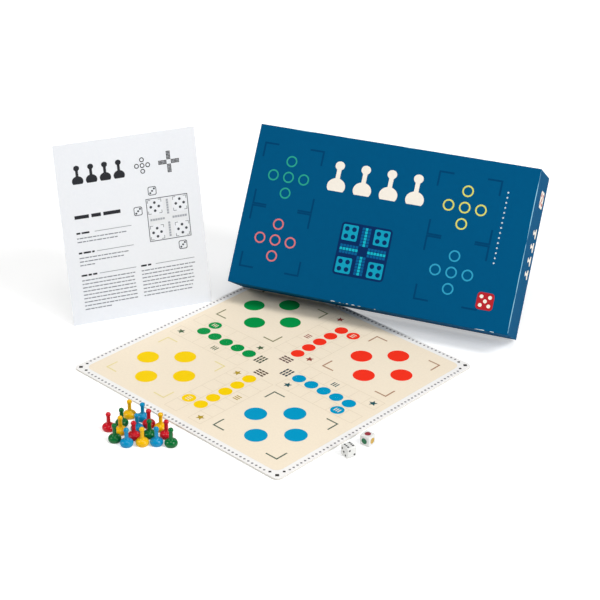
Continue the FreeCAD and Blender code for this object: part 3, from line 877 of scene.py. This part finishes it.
@dataclass
class Box:
    """The lidded box, whose lid carries the print."""

    art_shift: float = -16.2  # middle of the front's print from the middle of the lid
    cluster_reach: Pair = (114.4, 40.2)  # ring clusters from the middle of the print
    ring_step: float = 20.3  # spacing of the rings in a cluster
    ring_radius: float = 7.15  # outer radius of a ring
    ring_line: float = 1.9  # width of a ring's line
    frame_reach: float = 40.0  # brackets from the middle of a cluster
    frame_bracket: Pair = (19.0, 2.2)  # length of a bracket's arms and width of its line
    pawn_height: float = 38.0  # pawns in the front's row
    pawn_step: float = 34.0  # spacing of that row
    pawn_rise: float = 33.0  # its foot above the middle
    plate: float = 66.0  # side of the small printed board
    plate_drop: float = 35.0  # the small board below the middle
    plate_round: float = 5.0  # its corner radius
    plate_yard_share: float = 0.3  # side of its yards
    plate_reach_share: float = 0.31  # its yards from its middle
    plate_dot_share: float = 0.07  # a yard's dots from the yard's middle
    plate_dot: float = 2.9  # radius of the dots
    yard_round: float = 2.0  # corner radius of its yards
    cross_cell: float = 4.0  # square spacing of its track
    stud_aside: float = 147.0  # column of small diamonds from the middle of the lid
    stud_reach: Pair = (-20.0, 73.0)  # lowest and highest diamond of that column
    stud_step: float = 6.2  # spacing of the diamonds
    stud_radius: float = 1.3  # half the width of a diamond
    die_side: float = 21.0  # printed dice
    die_shares: Triple = (1 / 5, 1 / 9, 1 / 4)  # corner radius, pip radius and pip step, of that side
    front_die: Pair = (146.0, -67.0)  # the die on the front
    end_die: Pair = (70.0, -8.0)  # the die on each end
    end_row: Pair = (3.0, -18.0)  # foot of the row of pawns on each end
    end_pawn: float = 20.0  # height of those pawns
    end_step: float = 17.0  # spacing of that row
    front: Face = field(init=False)
    depth: float = field(init=False)

    def build(self) -> None:
        """Print the lid's front and its two ends."""
        out = np.array(next(joint["axis"] for joint in frame["joints"] if joint["name"] == "lid_lift"))
        out /= np.linalg.norm(out)
        along = np.cross(UP, out)
        along /= np.linalg.norm(along)
        self.front = Face.of_nodes(["lid_wrap"], out, along)
        self.depth = np.ptp(node_points("lid_wrap") @ out)
        self.print_front()
        for word, way in (("right", 1), ("left", -1)):
            end = Face.of_nodes(["lid_wrap"], way * along, way * self.front.rise)
            pawns = Motif.stamped(pawn_outline(self.end_pawn), row_of_four(self.end_row, self.end_step))
            add_print(f"lid_{word}_pawns", pawns, end, "lid", SIGN_CREAM)
            self.print_die(f"{word}_die", end, self.end_die, (SIGN_CREAM, SIGN_RED))

    def dress(self) -> None:
        """Give the shells, stays and wraps their board and paper."""
        walls = ("long_wall_1", "long_wall_2", "end_wall_1", "end_wall_2")
        for shell, base in (("tray", "floor"), ("lid", "top")):
            for panel in (base, *walls):
                dress_node(f"{shell}_{panel}", GREYBOARD)
            dress_node(f"{shell}_corner_stays", STAY_TAPE)
        dress_node("tray_wrap", WRAP_PAPER)
        dress_node("lid_wrap", self.worn_wrap())

    def worn_wrap(self) -> WornFinish:
        """The wrap of the lid, whose edges have been rubbed on shelves and by hands, with a painted
        highlight along the right end's edge.
        """
        axes = Matrix((self.front.across, self.front.rise, self.front.normal)).transposed()
        return WornFinish(
            **{**asdict(WRAP_PAPER), "name": "rubbed_and_highlit_wrap_paper"},
            middle=tuple((self.front.middle - self.front.normal * self.depth / 2) * MM),
            turn=tuple(axes.to_euler()),
            half=tuple(np.array([self.front.width, self.front.height, self.depth]) / 2 * MM),
        )

    def print_front(self) -> None:
        """Print the front: four ring clusters in brackets, a row of pawns and a small track."""
        quarters = {Team.GREEN: (-1, 1), Team.RED: (-1, -1), Team.YELLOW: (1, 1), Team.BLUE: (1, -1)}
        middle = np.array([self.art_shift, 0.0])
        clusters = middle + np.array(list(quarters.values())) * self.cluster_reach
        for team, cluster in zip(quarters, clusters):
            rings = Motif.rings(self.ring_radius, self.ring_line, cross_of_five(cluster, self.ring_step))
            self.print_on_front(f"{team.value.name}_rings", rings, team.value.ring)
        brackets = Motif.brackets(clusters, self.frame_reach, self.frame_bracket)
        self.print_on_front("brackets", brackets, "#024069")
        row = row_of_four(middle + (0, self.pawn_rise), self.pawn_step)
        self.print_on_front("pawn_row", Motif.stamped(pawn_outline(self.pawn_height), row), "#EFE8DC")
        self.print_plate(middle - (0, self.plate_drop))
        studs = pairs((self.stud_aside,), np.arange(*self.stud_reach, self.stud_step))
        self.print_on_front("studs", Motif.stamped(circle(self.stud_radius, DIAMOND), studs), "#C9D9DF")
        self.print_die("front_die", self.front, self.front_die, (SIGN_RED, SIGN_CREAM))

    def print_plate(self, middle: np.ndarray) -> None:
        """Print a small board: a dark plate, four yards with a dot for each pawn, and the track's cross.

        Args:
            middle: Middle of the plate.
        """
        yards = middle + self.plate_reach_share * self.plate * CORNERS
        dots = about(yards, self.plate_dot_share * self.plate * CORNERS)
        yard = rounded_square(self.plate_yard_share * self.plate, self.yard_round)
        plate = rounded_square(self.plate, self.plate_round)
        for name, motif, colour, layer in (
            ("plate", Motif.stamped(plate, middle), "#0B2C5C", 1),
            ("plate_arms", Motif.ludo_cross(middle, self.cross_cell, ARM_SIDES), "#0B5C8F", 2),
            ("plate_homes", Motif.ludo_cross(middle, self.cross_cell, ARM_MIDDLE), "#17AFC4", 2),
            ("plate_yards", Motif.stamped(yard, yards), "#149AB8", 2),
            ("plate_dots", Motif.stamped(circle(self.plate_dot, DOT_SIDES), dots), "#0B2C5C", 3),
        ):
            self.print_on_front(name, motif, colour, layer)

    def print_on_front(self, name: str, motif: Motif, colour: str, layer: int = 1) -> None:
        """Print one motif on the lid's front."""
        add_print(f"lid_{name}", motif, self.front, "lid", ink(f"box_{name}", colour, **LAMINATE), layer)

    def print_die(self, name: str, face: Face, middle: Places, inks: tuple[Finish, Finish]) -> None:
        """Print a die of five pips, over whatever is printed there.

        Args:
            name: Name of the print.
            face: Side that takes it.
            middle: Middle of the die.
            inks: Inks of the die and of its pips.
        """
        die_round, pip, pip_step = self.die_side * np.array(self.die_shares)
        block = Motif.stamped(rounded_square(self.die_side, die_round), middle)
        places = middle + pip_step * np.array([(0, 0), *CORNERS])
        pips = Motif.stamped(circle(pip, DOT_SIDES), places)
        add_print(f"lid_{name}", block, face, "lid", inks[0], 2)
        add_print(f"lid_{name}_pips", pips, face, "lid", inks[1], 3)


@dataclass(frozen=True)
class TextBlock:
    """A heading with a rule beside it, over lines of text."""

    right: bool  # True in the right-hand column
    top: float  # heading above the middle of the page
    heading: float  # length of the heading
    inset: float  # rule from the start of the column
    shares: tuple[float, ...]  # length of each line, of the column's width


@dataclass
class RulesSheet:
    """The sheet of rules, printed with plain bars in place of words."""

    yaw: float = 65.4  # turn of the sheet on the table, in degrees
    lean: float = 15.2  # lean from upright, in degrees
    column: float = 70.0  # width of a column of text
    gutter: float = 3.2  # half the gap between the columns
    line_pitch: float = 4.55  # spacing of the lines
    first_line: float = 1.4  # spacings from a heading to its first line
    line_height: float = 1.3  # height of a line's bars
    heading_height: float = 2.2  # height of a heading's bars
    rule_line: float = 0.7  # width of the rules
    word_shares: Triple = (1.6, 3.6, 0.7)  # least bar, more and gap, of a bar's height
    most_words: int = 24  # bars of a line before it is cut to length
    word_shift: float = 7.0  # steps between the first bars of lines a millimetre apart
    title_bar: Triple = (60.0, 21.4, 4.4)  # length, rise and height of the title's bars
    title_pawn: float = 23.0  # height of the pawns at the top
    title_step: float = 17.5  # spacing of their row
    title_row: Pair = (-37.6, 62.0)  # its middle
    rings: Triple = (3.0, 1.1, 7.2)  # radius, line and spacing of the cross of rings
    rings_middle: Pair = (18.7, 73.3)  # its middle
    track_middle: Pair = (53.0, 73.5)  # the small track beside it
    track_cell: float = 1.8  # spacing of that track's squares
    diagram: float = 54.2  # side of the small board
    diagram_middle: Pair = (45.3, 3.8)  # its middle
    diagram_cell: float = 3.2  # spacing of its track's squares
    diagram_line: float = 0.9  # width of its frame
    diagram_bracket: Pair = (4.0, 0.6)  # length of its brackets' arms and width of their line
    yard_share: float = 0.3  # its yards from its middle
    dot_shares: Pair = (0.032, 0.095)  # a dot's radius, and a yard's dots from its middle
    bracket_share: float = 0.165  # a yard's brackets from its middle
    arm_shares: Pair = (0.92, 0.22)  # length and width of the bands under its track
    die_sizes: tuple[float, float, float, float] = (11.0, 2.4, 1.3, 2.6)  # side, round, pip and pip step
    die_hole_share: float = 0.84  # inner outline of a die
    dice: tuple[Pair, ...] = ((27.8, 40.2), (7.2, 17.6), (60.2, -33.0))  # their middles
    blocks: tuple[TextBlock, ...] = (
        TextBlock(False, 1.5, 20.0, 23.0, (0.92, 0.74)),
        TextBlock(False, -23.2, 20.0, 23.0, (0.9, 0.8, 0.28)),
        TextBlock(False, -51.5, 20.0, 23.0, (*(0.97,) * 8, 0.5)),
        TextBlock(True, -51.5, 15.0, 19.0, (1.0, 0.96, 0.98, 0.95, 0.99, 0.94, 0.92, 0.9)),
    )
    page: Face = field(init=False)

    def build(self) -> None:
        """Print the page."""
        turn, tilt = math.radians(self.yaw), math.radians(self.lean)
        along = np.array([math.cos(turn), math.sin(turn), 0.0])
        level = np.array([math.sin(turn), -math.cos(turn), 0.0])
        out = math.cos(tilt) * level + math.sin(tilt) * UP
        self.page = Face.of_nodes(["rules_leaflet"], out, along)
        track = Motif.ludo_cross(self.diagram_middle, self.diagram_cell, ARM_MIDDLE)
        for name, motif, colour, layer in (
            ("headings", self.headings(), "#303136", 1),
            ("text", self.text(), "#858990", 1),
            ("diagram", self.drawing(), "#4E5157", 1),
            ("diagram_arms", self.arms(), "#E9EBEE", 1),
            ("diagram_track", track, "#A9ADB4", 2),
        ):
            add_print(f"rules_{name}", motif, self.page, "leaflet", ink(f"rules_{name}", colour, 0.8), layer)

    def dress(self) -> None:
        """Give the sheet its paper."""
        dress_node("rules_leaflet", OFFSET_PAPER)

    def words(self, start: float, stop: float, rise: float, height: float) -> Motif:
        """A line of bars in place of words.

        The bars' lengths follow the fractions of multiples of the golden ratio, so that they look
        uneven, and each starts one gap after the last.

        Args:
            start: Left end of the line.
            stop: Right end.
            rise: Middle of the line's height.
            height: Height of the bars.

        Returns:
            The bars as one motif.
        """
        least, more, gap = height * np.array(self.word_shares)
        number = np.arange(self.most_words) + abs(round(rise * self.word_shift))
        length = least + more * np.modf(number * GOLDEN)[0]
        ends = start + np.cumsum(length + gap) - gap
        starts = ends - length
        kept = starts < stop - height
        ends = np.minimum(ends[kept], stop)
        corners = np.stack([starts[kept], ends, ends, starts[kept]], axis=1)
        rises = np.broadcast_to(rise + height / 2 * np.array([-1, -1, 1, 1]), corners.shape)
        points = np.dstack([corners, rises, np.zeros_like(corners)]).reshape(-1, 3)
        return Motif(points, (np.arange(len(points)).reshape(-1, 4),))

    def column_start(self, block: TextBlock) -> float:
        """Left end of the column that a block is in."""
        return self.gutter if block.right else -self.gutter - self.column

    def headings(self) -> Motif:
        """Title pawns, ring cross, small track, and the bold bars that head each block.

        Returns:
            All of them as one motif.
        """
        length, rise, height = self.title_bar
        left = self.column_start(self.blocks[0])
        bold = [self.words(left, left + length, rise, height)]
        for block in self.blocks:
            start = self.column_start(block)
            bold.append(self.words(start, start + block.heading, block.top, self.heading_height))
        radius, line, step = self.rings
        return Motif.joined(
            Motif.stamped(pawn_outline(self.title_pawn), row_of_four(self.title_row, self.title_step)),
            Motif.rings(radius, line, cross_of_five(self.rings_middle, step)),
            Motif.ludo_cross(self.track_middle, self.track_cell, ARM_SIDES + ARM_MIDDLE),
            *bold,
        )

    def text(self) -> Motif:
        """Blocks of lines, with a thin rule over each.

        Returns:
            The lines and rules as one motif.
        """
        lines, rules = [], []
        for block in self.blocks:
            start = self.column_start(block)
            for row, share in enumerate(block.shares):
                rise = block.top - (row + self.first_line) * self.line_pitch
                lines.append(self.words(start, start + share * self.column, rise, self.line_height))
            middle = (start + (self.column + block.inset) / 2, block.top)
            rules.append(Motif.stamped(rectangle(self.column - block.inset, self.rule_line), middle))
        return Motif.joined(*lines, *rules)

    def drawing(self) -> Motif:
        """Small picture of the board in a square frame, with three outlined dice round it.

        Returns:
            All of it as one motif.
        """
        middle, side = np.array(self.diagram_middle), self.diagram
        inner = side - 2 * self.diagram_line
        yards = middle + self.yard_share * side * CORNERS
        dot, dot_step = side * np.array(self.dot_shares)
        die_side, die_round, pip, pip_step = self.die_sizes
        die = rounded_square(die_side, die_round)
        pips = about(self.dice, pip_step * np.array([(0, 0), (1, 1), (-1, -1)]))
        return Motif.joined(
            Motif.stamped(rectangle(side, side), middle, hole=rectangle(inner, inner)),
            Motif.stamped(circle(dot, SPECK_SIDES), about(yards, dot_step * WAYS)),
            Motif.brackets(yards, self.bracket_share * side, self.diagram_bracket),
            Motif.stamped(die, self.dice, hole=die * self.die_hole_share),
            Motif.stamped(circle(pip, SPECK_SIDES), pips),
        )

    def arms(self) -> Motif:
        """Pale bands under the small board's four arms: one upright, and one on each side of it.

        Returns:
            The bands as one motif.
        """
        long, wide = self.diagram * np.array(self.arm_shares)
        aside = np.array(self.diagram_middle) + (long + wide) / 4 * WAYS[::2]
        upright = Motif.stamped(rectangle(wide, long), self.diagram_middle)
        return Motif.joined(upright, Motif.stamped(rectangle((long - wide) / 2, wide), aside))


@dataclass
class Pawns:
    """Sixteen pawns, four in each colour."""

    count: int = 4  # pawns of each colour

    def build(self) -> None:
        """Use the turned solids as they are."""

    def dress(self) -> None:
        """Give each pawn its moulded polystyrene, coloured through and glossy from a polished mould."""
        for team in Team:
            look = team.value
            name = f"moulded_polystyrene_{look.name}"
            plastic = GlossFinish(
                name, look.plastic, 0.1, 0.2, ior=1.59, grain=1.8, relief=0.006, dulled=0.2
            )
            for number in range(1, self.count + 1):
                dress_node(f"pawn_{look.name}_{number}", plastic)


class DieSide(Enum):
    """Sides of a die, each with its outward direction and the one across it."""

    TOP = ((0, 0, 1), (1, 0, 0))
    BOTTOM = ((0, 0, -1), (1, 0, 0))
    FRONT = ((0, -1, 0), (1, 0, 0))
    BACK = ((0, 1, 0), (1, 0, 0))
    RIGHT = ((1, 0, 0), (0, 0, -1))
    LEFT = ((-1, 0, 0), (0, 0, 1))


@dataclass
class Die:
    """A die with paint in the hollows of its six sides."""

    node: str  # CAD node of the die
    body: str  # CAD body that it is
    yaw: float  # turn on the table, in degrees
    radius: float  # radius of a hollow
    depth: float  # depth of a hollow
    marks: dict[DieSide, tuple[np.ndarray, Finish]]  # places of each side's hollows, and their paint
    skin: float = 0.02  # air between the paint and the hollow

    def build(self) -> None:
        """Fill the hollows with paint."""
        turn = np.array(Matrix.Rotation(math.radians(self.yaw), 3, "Z"))
        for side, (places, paint) in self.marks.items():
            normal, across = (turn @ np.array(way, float) for way in side.value)
            face = Face.of_nodes([self.node], normal, across)
            cups = Motif.cups(self.radius - self.skin, self.depth - self.skin, places)
            add_print(f"{self.node}_{side.name.lower()}_paint", cups, face, self.body, paint, 0)

    def dress(self) -> None:
        """Give the die its acrylic."""
        dress_node(self.node, DIE_ACRYLIC)


def number_die() -> Die:
    """Make the die with one to six black pips a side.

    Returns:
        The die, with its pips as they lie.
    """
    pip_step = 3.2
    diagonal, middle = np.array([(-1, 1), (1, -1)]), np.zeros((1, 2))
    sides = {
        DieSide.TOP: np.concatenate([CORNERS, [(0, -1), (0, 1)]]),
        DieSide.BOTTOM: middle,
        DieSide.FRONT: np.concatenate([diagonal, middle]),
        DieSide.BACK: CORNERS,
        DieSide.RIGHT: diagonal * (1, -1),
        DieSide.LEFT: np.concatenate([CORNERS, middle]),
    }
    marks = {side: (pip_step * places, PIP_PAINT) for side, places in sides.items()}
    return Die("die_pips", "number_die", yaw=-13.0, radius=1.25, depth=0.4, marks=marks)


def colour_die() -> Die:
    """Make the die with one coloured spot a side.

    Returns:
        The die, with its spots as they lie.
    """
    colours = {
        DieSide.TOP: ("red", "#95303A"),
        DieSide.FRONT: ("green", "#1B6E47"),
        DieSide.RIGHT: ("yellow", "#C7A24A"),
        DieSide.LEFT: ("blue", "#1878AE"),
        DieSide.BACK: ("white", "#F2F2F0"),
        DieSide.BOTTOM: ("black", "#26262A"),
    }
    marks = {
        side: (np.zeros((1, 2)), replace(PIP_PAINT, name=f"{word}_spot_enamel", colour=colour))
        for side, (word, colour) in colours.items()
    }
    return Die("die_spots", "colour_die", yaw=5.0, radius=3.6, depth=0.3, marks=marks)


@dataclass
class Lamp:
    """A soft square light."""

    name: str  # what it is for
    place: Triple  # where it hangs, in metres
    side: float  # side of its panel, in metres
    power: float  # watts

    def build(self, aim: Vector) -> None:
        """Hang the light and point it.

        Args:
            aim: Point that it faces.
        """
        data = bpy.data.lights.new(self.name, "AREA")
        data.shape = "SQUARE"
        data.size = self.side
        data.energy = self.power
        lamp = add_object(self.name, data)
        lamp.location = self.place
        lamp.rotation_euler = (aim - lamp.location).to_track_quat("-Z", "Y").to_euler()


@dataclass
class Studio:
    """White floor, soft light and the camera."""

    floor_side: float = 60.0  # side of the floor, in metres
    floor_drop: float = 0.0002  # floor under the table pieces, in metres
    floor_glow: float = 0.36  # light that the floor adds for the camera alone, so that it is white
    glow_reach: Pair = (0.5, 1.5)  # metres over which it doubles, where the lamps fall short
    ambient: float = 0.185  # strength of the light from all round
    eye: Triple = (1.19709, -1.24401, 1.02923)  # the camera's place, in metres
    right: Triple = (0.727735, 0.685741, 0.012697)  # its right-hand direction
    forward: Triple = (-0.598277, 0.643751, -0.477128)  # its direction of view
    lens: float = 101.52  # focal length
    sensor: float = 36.0  # width of a full-frame sensor
    aim: Triple = (0.0, 0.05, 0.05)  # point that the lamps face, in metres
    lamps: tuple[Lamp, ...] = (
        Lamp("right_softbox", (1.7, 0.45, 1.9), 0.8, 28.2),
        Lamp("low_right_softbox", (2.0, 0.2, 1.0), 1.0, 15.9),
        Lamp("left_softbox", (-1.0, -1.7, 1.5), 0.8, 23.9),
        Lamp("overhead_softbox", (0.3, -0.3, 2.4), 0.8, 10.1),
        Lamp("back_softbox", (-0.5, 1.75, 1.05), 0.4, 3.8),
    )

    def build(self) -> None:
        """Set up the floor, the world, the lamps and the camera."""
        bpy.context.scene.view_settings.view_transform = "Standard"
        self.add_floor()
        self.light_world()
        for lamp in self.lamps:
            lamp.build(Vector(self.aim))
        self.add_camera()

    def add_floor(self) -> None:
        """Lay a white floor just under the table pieces, which glows a little for the camera."""
        corners = rectangle(self.floor_side, self.floor_side)
        corners = np.column_stack([corners, np.full(len(corners), -self.floor_drop)])
        mesh = bpy.data.meshes.new("floor")
        mesh.from_pydata(corners.tolist(), [], [(0, 1, 2, 3)])
        floor = add_object("floor", mesh)
        paint = Finish("white_studio_floor", "#F2F2F1", 0.9, sheen=0.0).material()
        mesh.materials.append(paint)
        tree = paint.node_tree
        shader = tree.nodes["Principled BSDF"]
        rays = add_node(tree, "LightPath").outputs
        looks = {0: rays["Is Camera Ray"], 1: rays["Is Glossy Ray"]}
        seen = add_node(tree, "Math", looks, operation="MAXIMUM")
        through = add_node(tree, "Math", {0: seen, 1: rays["Is Transmission Ray"]}, operation="MAXIMUM")
        place = add_node(tree, "TexCoord").outputs["Object"]
        away = add_node(tree, "VectorMath", {0: place}, operation="LENGTH")
        glows = (self.floor_glow, 2 * self.floor_glow)
        level = add_node(tree, "MapRange", dict(zip(RANGE, (away, *self.glow_reach, *glows))))
        glow = add_node(tree, "Math", {0: through, 1: level}, operation="MULTIPLY")
        shader.inputs["Emission Color"].default_value = linear("#FFFFFF")
        tree.links.new(glow.outputs[0], shader.inputs["Emission Strength"])

    def light_world(self) -> None:
        """Light evenly from all round."""
        world = bpy.data.worlds.new("studio")
        world.use_nodes = True
        bpy.context.scene.world = world
        backdrop = world.node_tree.nodes["Background"]
        backdrop.inputs["Color"].default_value = linear("#FFFFFF")
        backdrop.inputs["Strength"].default_value = self.ambient

    def add_camera(self) -> None:
        """Place the camera by its three directions, the third being square to the other two."""
        right = Vector(self.right).normalized()
        back = -Vector(self.forward)
        back = (back - right * back.dot(right)).normalized()
        up = back.cross(right)
        data = bpy.data.cameras.new("camera")
        data.sensor_width = self.sensor
        data.lens = self.lens
        camera = add_object("camera", data)
        turn = Matrix((right, up, back)).transposed().to_4x4()
        camera.matrix_world = Matrix.Translation(Vector(self.eye)) @ turn
        bpy.context.scene.camera = camera


def main() -> None:
    """Build the studio and each sub-assembly in order."""
    logging.basicConfig(level=logging.INFO, format="%(message)s")
    Studio().build()
    for assembly in (Board(), Box(), RulesSheet(), Pawns(), number_die(), colour_die()):
        LOG.info("building %s", type(assembly).__name__)
        assembly.build()
        assembly.dress()


if __name__ == "__main__":
    main()
